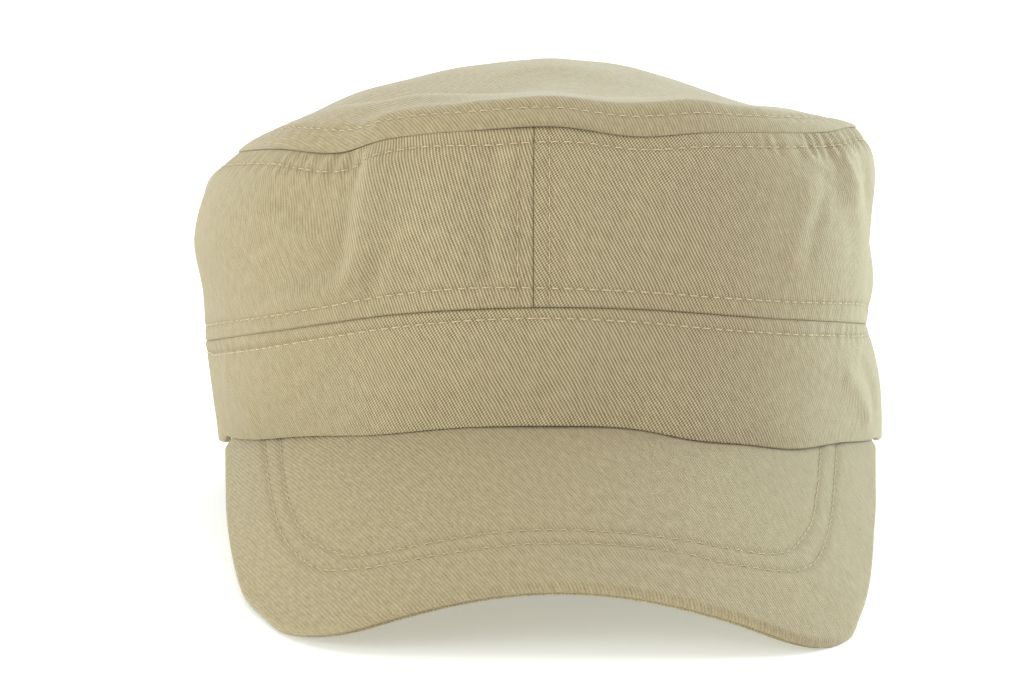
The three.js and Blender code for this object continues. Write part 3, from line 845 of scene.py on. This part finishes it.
def makePeakUpper():
    shares = np.concatenate([
        [0, 0.0015, 0.004, 0.008, 0.013, 0.019, 0.026, 0.034, 0.043, 0.053, 0.064], np.linspace(0.078, 1, 78)])
    x, y, away = peakGrid(peakLook["columns"], shares)
    up, sunk = peakUp(x, y)
    outer, _ = peakPlace(x, y, turnedEdge(away, *peakLook["rimRoll"]) - up * smoothStep(away, 0.5, 4))
    innerShares = np.concatenate([[0, 0.01, 0.03], np.linspace(0.08, 1, 16)])
    innerX, innerY, innerAway = peakGrid(peakLook["columns"], innerShares)
    depth = peakLook["upper"] - turnedEdge(innerAway, *peakLook["insideRoll"])
    inner, _ = peakPlace(innerX, innerY, depth)
    flat = peakFlat(outer)
    reach = int(np.searchsorted(shares, 0.04))  # the cloth that turns down over the rim carries on past it
    steps = np.linalg.norm(outer[:, 1:] - outer[:, :-1], axis=2)
    outwards = flat[:, reach - 3] - flat[:, reach]
    outwards /= np.linalg.norm(outwards, axis=1)[:, None]
    for row in reversed(range(reach)):
        flat[:, row] = flat[:, row + 1] + outwards * steps[:, row][:, None]
    # painted shade along the sunk rows of stitches
    paintedShade = np.clip(peakLook["rowShade"] * sunk, 0, 1)
    return shellMesh("peak_upper_cloth", outer, inner, flat, peakFlat(inner), False, paintedShade)


def makePeakUnder():
    shares = np.concatenate([[0, 0.006, 0.015, 0.03], np.linspace(0.05, 1, 40)])
    depth = peakLook["upper"] + gap
    x, y, away = peakGrid(peakLook["underColumns"], shares, peakLook["underInset"])
    upper, _ = peakPlace(x, y, depth + turnedEdge(away, *peakLook["insideRoll"]))
    _, sunk = peakUp(x, y)
    sunk = peakLook["underGroove"] * peakLook["groove"] * sunk
    lower, _ = peakPlace(x, y, depth + peakLook["under"] - sunk - turnedEdge(away, *peakLook["underRoll"]))
    return shellMesh("peak_under_cloth", upper, lower, peakFlat(upper), peakFlat(lower), False)


threadLook = {
    "length": 2.3, "pitch": 2.8, "jitter": 0.2, "uneven": (0.85, 1.1), "skew": 0.1,
    "thick": 0.3, "thickUpright": 0.19, "thickOnPeak": 0.2,
    "rise": 0.18, "dip": 0.3,  # how far a stitch stands up, and how far its ends sink
    "arch": 0.6, "taper": 0.75, "flat": 0.8,
    "rings": 7, "sides": 6,
    "step": 0.25,  # mm between the points of the path that a row follows
    "underPeak": 0.1,  # how far the rows under the peak lie in its cloth
    "bare": 0.2,  # degrees left bare at the upright seams
    "uprightLevels": (1.03, 1.97),
}


def stitchRow(store, path, normals, seed, thick=threadLook["thick"]):
    # adds one short raised thread after another along a path on the cloth
    look = threadLook
    rings, sides = look["rings"], look["sides"]
    random = np.random.default_rng(seed)
    done = alongLine(path)
    count = int(round(done[-1] / look["pitch"]))
    pitch = done[-1] / count
    s = np.linspace(0, 1, rings)
    lift = np.sin(np.pi * s) ** look["arch"] * (look["rise"] + look["dip"]) - look["dip"]
    fat = thick / 2 * (look["taper"] + (1 - look["taper"]) * np.sin(np.pi * s))[:, None]
    around = np.arange(sides) / sides * 2 * np.pi
    tall, wide = (np.sin(around) * fat * look["flat"])[..., None], (np.cos(around) * fat)[..., None]
    i, j = gridIndex(rings - 1, sides)
    n = (j + 1) % sides
    quads = np.stack([i * sides + j, (i + 1) * sides + j, (i + 1) * sides + n, i * sides + n], 1)
    for k in range(count):
        middle = (k + 0.5) * pitch + random.uniform(-1, 1) * look["jitter"]
        length = look["length"] * random.uniform(*look["uneven"])
        skew = random.uniform(-look["skew"], look["skew"])
        at = np.clip(middle, length / 2, done[-1] - length / 2) + (s - 0.5) * length
        centre, up = pointsAt(at, done, path), pointsAt(at, done, normals)
        up /= np.linalg.norm(up, axis=1)[:, None]
        ahead = np.gradient(centre, axis=0)
        ahead /= np.linalg.norm(ahead, axis=1)[:, None]
        side = np.cross(ahead, up)
        centre = centre + up * lift[:, None] + side * (skew * (s - 0.5))[:, None]
        base = len(store["points"]) * rings * sides
        store["points"].append((centre[:, None] + up[:, None] * tall + side[:, None] * wide).reshape(-1, 3))
        store["faces"] += (base + quads).tolist()
        store["faces"].append([base + a for a in range(sides)])
        store["faces"].append([base + (rings - 1) * sides + a for a in reversed(range(sides))])


def surfaceNormals(spot, a, b, stepA=0.05, stepB=0.002):
    # normals of a surface given as a function of two numbers
    da = spot(a + stepA, b) - spot(a - stepA, b)
    db = spot(a, b + stepB) - spot(a, b - stepB)
    normal = np.cross(da, db)
    return normal / np.linalg.norm(normal, axis=-1)[..., None]


def addRow(store, spot, angles, levels, seed, thick=threadLook["thick"], side=1):
    # a row on a surface; side is -1 where the surface's two numbers run the other way round
    even = evenPath(np.column_stack([spot(angles, levels), angles, levels]), threadLook["step"])
    a, b = even[:, 3], even[:, 4]
    stitchRow(store, spot(a, b), surfaceNormals(spot, a, b) * side, seed, thick)


def newStore():
    return {"points": [], "faces": []}


def stitchPiece(name, store):
    return makeMesh(name, np.vstack(store["points"]), store["faces"])


def makeBandStitches():
    store = newStore()
    angles = np.arange(-180, 180.01, 0.25)
    offset = readTable(bandLook["rowUnderSeam"], 1, angles)
    addRow(store, bandSpot, angles, 1 - offset / bandHeight(angles), 51)
    return stitchPiece("band_stitches", store)


def makeCrownStitches():
    store = newStore()
    seam = crownLook["frontSeam"]
    beside = math.degrees(crownLook["besideSeam"] / meanRadius)
    end = threadLook["bare"]
    for low, high, seed in ((end - 180, seam - end, 52), (seam + end, 180 - end, 53)):
        angles = np.linspace(low, high, 720)
        height = seamHeight("top", angles) - seamHeight("band", angles)
        over = readTable(crownLook["rowOverBand"], 1, angles)
        under = readTable(crownLook["rowUnderTop"], 1, angles)
        addRow(store, crownSpot, angles, 1 + over / height, seed)
        addRow(store, crownSpot, angles, 2 - under / height, seed + 4)
    levels = np.linspace(*threadLook["uprightLevels"], 120)
    for seed, at in enumerate((seam - beside, seam + beside, beside - 180, 180 - beside), 60):
        addRow(store, crownSpot, at + 0 * levels, levels, seed, threadLook["thickUpright"])
    return stitchPiece("crown_stitches", store)


def makeTopStitches():
    store = newStore()
    angles = np.arange(-180, 180.01, 0.25)
    share = 1 - readTable(topLook["rowIn"], 1, angles) / np.hypot(*topSeamPlan(angles))
    addRow(store, topSpot, angles, share, 71, side=-1)
    return stitchPiece("top_stitches", store)


def makePeakStitches():
    store = newStore()
    under = peakLook["upper"] + gap + peakLook["under"] - threadLook["underPeak"]
    for k, line in enumerate(peakRows):
        x, y = line[:, 0], line[:, 1]
        up, _ = peakUp(x, y)
        for seed, depth, side in ((80 + k, -up, 1), (90 + k, under + 0 * x, -1)):
            path, normals = peakPlace(x, y, depth)
            stitchRow(store, path, normals * side, seed, threadLook["thickOnPeak"])
    return stitchPiece("peak_stitches", store)


print("making the cloth")
band = makeBand()
crownLeft = makeCrown("crown_left_cloth", -180, crownLook["frontSeam"])
crownRight = makeCrown("crown_right_cloth", crownLook["frontSeam"], 180)
crownTop = makeTop()
peakUpper = makePeakUpper()
peakUnder = makePeakUnder()
print("making the stitches")
bandStitches = makeBandStitches()
crownStitches = makeCrownStitches()
topStitches = makeTopStitches()
peakStitches = makePeakStitches()


class Wire:
    # one output socket, with arithmetic
    def __init__(self, bench, socket):
        self.bench, self.socket = bench, socket

    def __add__(self, other):
        return self.bench.math("ADD", self, other)

    def __radd__(self, other):
        return self.bench.math("ADD", other, self)

    def __sub__(self, other):
        return self.bench.math("SUBTRACT", self, other)

    def __rsub__(self, other):
        return self.bench.math("SUBTRACT", other, self)

    def __mul__(self, other):
        return self.bench.math("MULTIPLY", self, other)

    def __rmul__(self, other):
        return self.bench.math("MULTIPLY", other, self)

    def __truediv__(self, other):
        return self.bench.math("DIVIDE", self, other)

    def __rtruediv__(self, other):
        return self.bench.math("DIVIDE", other, self)

    def output(self, name):
        # another output of the same node
        return Wire(self.bench, self.socket.node.outputs[name])


class Bench:
    # the node tree of one material or of the world
    def __init__(self, owner):
        owner.use_nodes = True
        self.tree = owner.node_tree
        self.tree.nodes.clear()

    def node(self, kind, settings=None, sockets=None, output=0):
        made = self.tree.nodes.new(kind)
        for key, value in (settings or {}).items():
            setattr(made, key, value)
        for key, value in (sockets or {}).items():
            if isinstance(value, Wire):
                self.tree.links.new(value.socket, made.inputs[key])
            else:
                made.inputs[key].default_value = value
        return Wire(self, made.outputs[output] if len(made.outputs) else None)

    def math(self, operation, *values):
        return self.node("ShaderNodeMath", {"operation": operation}, dict(enumerate(values)))

    def mix(self, factor, first, second, blend="MIX"):
        settings = {"data_type": "RGBA", "blend_type": blend}
        return self.node("ShaderNodeMix", settings, {0: factor, 6: first, 7: second}, 2)


def linear(red, green, blue):
    # a screen colour, 0 to 255, as light
    return tuple(((c / 255 + 0.055) / 1.055) ** 2.4 for c in (red, green, blue)) + (1.0,)


twillLook = {
    # seam is the colour of the painted shade in the seams and rows of stitches
    "ridge": (202, 187, 153), "groove": (101, 86, 55), "seam": (104, 86, 48),
    "seamShade": 0.62,  # how much of the seam colour, a painted shade, lies in the seams and rows
    "tint": (1.06, 1.03, 0.96, 1),
    "bead": 0.47,  # mm from one raised thread to the next along a rib
    "slant": 0.21,  # how far the beads shift from rib to rib, in beads
    "wander": 0.9,  # how far the ribs stray, in ribs
    "rib": 0.44, "knot": 0.12, "yarn": 0.3, "fuzz": 0.4,  # contrast of each
    "calm": 0.38, "calmPlaces": (28.0, 60.0),  # contrast left at the sides, and mm from the middle where it goes
    "height": 0.00012, "relief": 0.75,
    "rough": 0.86, "roughFuzz": 0.1, "gloss": 0.18,
    "sheen": 0.42, "sheenRough": 0.4, "sheenTint": (242, 242, 228),
}


def clothNoise(bench, place, scale, detail):
    return bench.node("ShaderNodeTexNoise", {"noise_dimensions": "2D"},
                      {"Vector": place, "Scale": scale, "Detail": detail})


def twillCloth(name, lean, pitch, contrast, beads=1.0, bead=twillLook["bead"]):
    # lean is the angle of the ribs from level, in degrees, running down to the right; pitch is their spacing in mm
    look = twillLook
    material = bpy.data.materials.new(name)
    bench = Bench(material)
    flat = bench.node("ShaderNodeUVMap", {"uv_map": "cloth"})
    across = bench.node("ShaderNodeSeparateXYZ", {}, {0: flat})
    up = across.output("Y")
    sine, cosine = math.sin(math.radians(lean)), math.cos(math.radians(lean))
    rib = (across * sine + up * cosine) / pitch + (clothNoise(bench, flat, 0.09, 3.0) - 0.5) * look["wander"]
    along = across * cosine - up * sine
    turn = 2 * math.pi
    ridge = 0.5 - bench.math("COSINE", rib * turn) * 0.5
    knot = 0.5 + bench.math("COSINE", (along / bead + rib * look["slant"]) * turn) * 0.5
    yarn = clothNoise(bench, bench.node("ShaderNodeCombineXYZ", {}, {0: rib * 0.9, 1: along * 0.35}), 1.0, 1.0)
    fuzz = clothNoise(bench, flat, 3.0, 2.0)
    patch = clothNoise(bench, flat, 0.045, 2.0)
    beading = look["knot"] * beads
    # less its own mean, so that a stronger weave is no lighter
    weave = ridge * look["rib"] - look["rib"] / 2 + knot * (1 + ridge) * beading - 0.75 * beading
    near, far = look["calmPlaces"]
    inFront = bench.node("ShaderNodeMapRange", {"interpolation_type": "SMOOTHSTEP"}, {
        0: bench.math("ABSOLUTE", across), 1: near, 2: far, 3: 1.0, 4: look["calm"]})
    shade = 0.5 + weave * inFront * contrast + (yarn - 0.5) * look["yarn"] + (fuzz - 0.5) * look["fuzz"]
    colour = bench.mix(shade, linear(*look["groove"]), linear(*look["ridge"]))
    colour = bench.mix(patch * 0.5 - 0.1, colour, look["tint"], "MULTIPLY")
    # painted shade: the seams, grooves and rows of stitches are darkened towards the seam colour by the mark each
    # piece carries
    paintedShade = bench.node("ShaderNodeAttribute", {"attribute_name": "paintedShade"}, output=2)
    colour = bench.mix(paintedShade * look["seamShade"], colour, linear(*look["seam"]))
    height = ridge * (0.65 + 0.35 * knot) + 0.12 * fuzz
    normal = bench.node("ShaderNodeBump", {}, {
        "Strength": look["relief"], "Distance": look["height"], "Height": height})
    shader = bench.node("ShaderNodeBsdfPrincipled", {}, {
        "Base Color": colour, "Roughness": look["rough"] + fuzz * look["roughFuzz"], "Normal": normal,
        "Specular IOR Level": look["gloss"], "Sheen Weight": look["sheen"],
        "Sheen Roughness": look["sheenRough"], "Sheen Tint": linear(*look["sheenTint"])})
    bench.node("ShaderNodeOutputMaterial", {}, {"Surface": shader})
    return material


threadFinish = {
    "light": (220, 200, 166), "dark": (188, 168, 132), "twist": 2600.0,
    "height": 0.00006, "relief": 0.5, "rough": 0.6, "roughTwist": 0.2, "gloss": 0.3, "sheen": 0.15,
}


def threadMaterial():
    look = threadFinish
    material = bpy.data.materials.new("sewing_thread")
    bench = Bench(material)
    place = bench.node("ShaderNodeTexCoord").output("Object")
    twist = bench.node("ShaderNodeTexNoise", {}, {"Vector": place, "Scale": look["twist"], "Detail": 2.0})
    colour = bench.mix(twist, linear(*look["dark"]), linear(*look["light"]))
    normal = bench.node("ShaderNodeBump", {}, {
        "Strength": look["relief"], "Distance": look["height"], "Height": twist})
    shader = bench.node("ShaderNodeBsdfPrincipled", {}, {
        "Base Color": colour, "Roughness": look["rough"] + twist * look["roughTwist"], "Normal": normal,
        "Specular IOR Level": look["gloss"], "Sheen Weight": look["sheen"]})
    bench.node("ShaderNodeOutputMaterial", {}, {"Surface": shader})
    return material


print("making the materials")
thread = threadMaterial()
finishes = [
    (band, "twill", "band", twillCloth("band_twill", 61, 0.7, 0.85, 3.9, 0.5)),
    (crownLeft, "twill", "crown_left", twillCloth("crown_left_twill", 71, 0.7, 1.05, 1.5)),
    (crownRight, "twill", "crown_right", twillCloth("crown_right_twill", 62, 0.69, 0.85, 4.0, 0.49)),
    (crownTop, "twill", "crown_top", twillCloth("crown_top_twill", 64, 0.72, 0.6)),
    (peakUpper, "twill", "peak_upper", twillCloth("peak_twill", 63, 0.68, 0.35)),
    (peakUnder, "under_twill", "peak_under", twillCloth("under_peak_twill", 63, 0.68, 0.35)),
    (bandStitches, "thread", None, thread),
    (crownStitches, "thread", None, thread),
    (topStitches, "thread", None, thread),
    (peakStitches, "thread", None, thread),
]
for piece, slotName, node, material in finishes:
    piece.data.materials.append(material)
    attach(piece, "root")
    if node:
        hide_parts(node)


studioLook = {
    "world": (0.60, 0.56, 0.60, 1),
    "floorGlow": (0.33, 0.34, 0.31, 1), "backGlow": (0.75, 0.75, 0.95, 1), "white": (0.92, 0.92, 0.92, 1),
    "side": 4.0, "far": 2.5, "tall": 3.0,  # reach of the floor and the backdrop in metres
    "aim": (0, 0, 0.05),
    "lamps": {  # place, width in metres, watts and colour
        "left_lamp": ((-1.3, -0.9, 0.5), 1.0, 15.0, (0.87, 1.0, 0.95)),
        "right_lamp": ((1.5, 0.3, 0.6), 1.4, 18.0, (0.57, 0.73, 1.0)),
        "right_back_lamp": ((1.3, 0.9, 0.4), 1.0, 14.6, (0.71, 1.0, 0.83)),
        "top_lamp": ((0.0, 0.1, 1.6), 1.4, 8.5, (0.95, 1.0, 0.65)),
    },
}


def makeSheet(name, corners, glow):
    # a plain white sheet of the studio, with a little light of its own
    mesh = bpy.data.meshes.new(name)
    mesh.from_pydata(corners, [], [(0, 1, 2, 3)])
    sheet = bpy.data.objects.new(name, mesh)
    bpy.context.scene.collection.objects.link(sheet)
    material = bpy.data.materials.new(name + "_white")
    bench = Bench(material)
    shader = bench.node("ShaderNodeBsdfPrincipled", {}, {
        "Base Color": studioLook["white"], "Roughness": 0.8, "Specular IOR Level": 0.1,
        "Emission Color": glow, "Emission Strength": 1.0})
    bench.node("ShaderNodeOutputMaterial", {}, {"Surface": shader})
    mesh.materials.append(material)


def makeLight(name, place, size, watts, colour):
    light = bpy.data.lights.new(name, "AREA")
    light.shape = "DISK"
    light.size, light.energy, light.color = size, watts, colour
    holder = bpy.data.objects.new(name, light)
    bpy.context.scene.collection.objects.link(holder)
    holder.location = place
    holder.rotation_mode = "QUATERNION"
    holder.rotation_quaternion = (Vector(studioLook["aim"]) - Vector(place)).to_track_quat("-Z", "Y")


print("making the studio")
side, far, tall = studioLook["side"], studioLook["far"], studioLook["tall"]
floorCorners = [(-side, -side, 0), (side, -side, 0), (side, far, 0), (-side, far, 0)]
backCorners = [(-side, far, 0), (side, far, 0), (side, far, tall), (-side, far, tall)]
makeSheet("floor", floorCorners, studioLook["floorGlow"])
makeSheet("backdrop", backCorners, studioLook["backGlow"])
world = bpy.data.worlds.new("studio")
bpy.context.scene.world = world
bench = Bench(world)
background = bench.node("ShaderNodeBackground", {}, {"Color": studioLook["world"], "Strength": 1.0})
bench.node("ShaderNodeOutputWorld", {}, {"Surface": background})
for name, (place, size, watts, colour) in studioLook["lamps"].items():
    makeLight(name, place, size, watts, colour)

# the camera is placed in the cap's own frame: target and distance in mm
cameraLook = {
    "target": (-9.7, 0.0, 25.0), "distance": 600.0, "elevation": 1.3,
    "lens": 82.43, "sensor": 36.0, "clip": (0.01, 20),
}
camera = bpy.data.cameras.new("camera")
camera.lens, camera.sensor_width = cameraLook["lens"], cameraLook["sensor"]
camera.clip_start, camera.clip_end = cameraLook["clip"]
holder = bpy.data.objects.new("camera", camera)
bpy.context.scene.collection.objects.link(holder)
bpy.context.scene.camera = holder
elevation = math.radians(cameraLook["elevation"])
aim = Vector((0, math.cos(elevation), -math.sin(elevation)))
eye = (Vector(cameraLook["target"]) - aim * cameraLook["distance"]) * mm
turned = Matrix.Rotation(math.pi / 2 - elevation, 4, "X")
holder.matrix_world = restMatrix @ Matrix.Translation(eye) @ turned
bpy.context.scene.view_settings.view_transform = "Standard"

print("done")
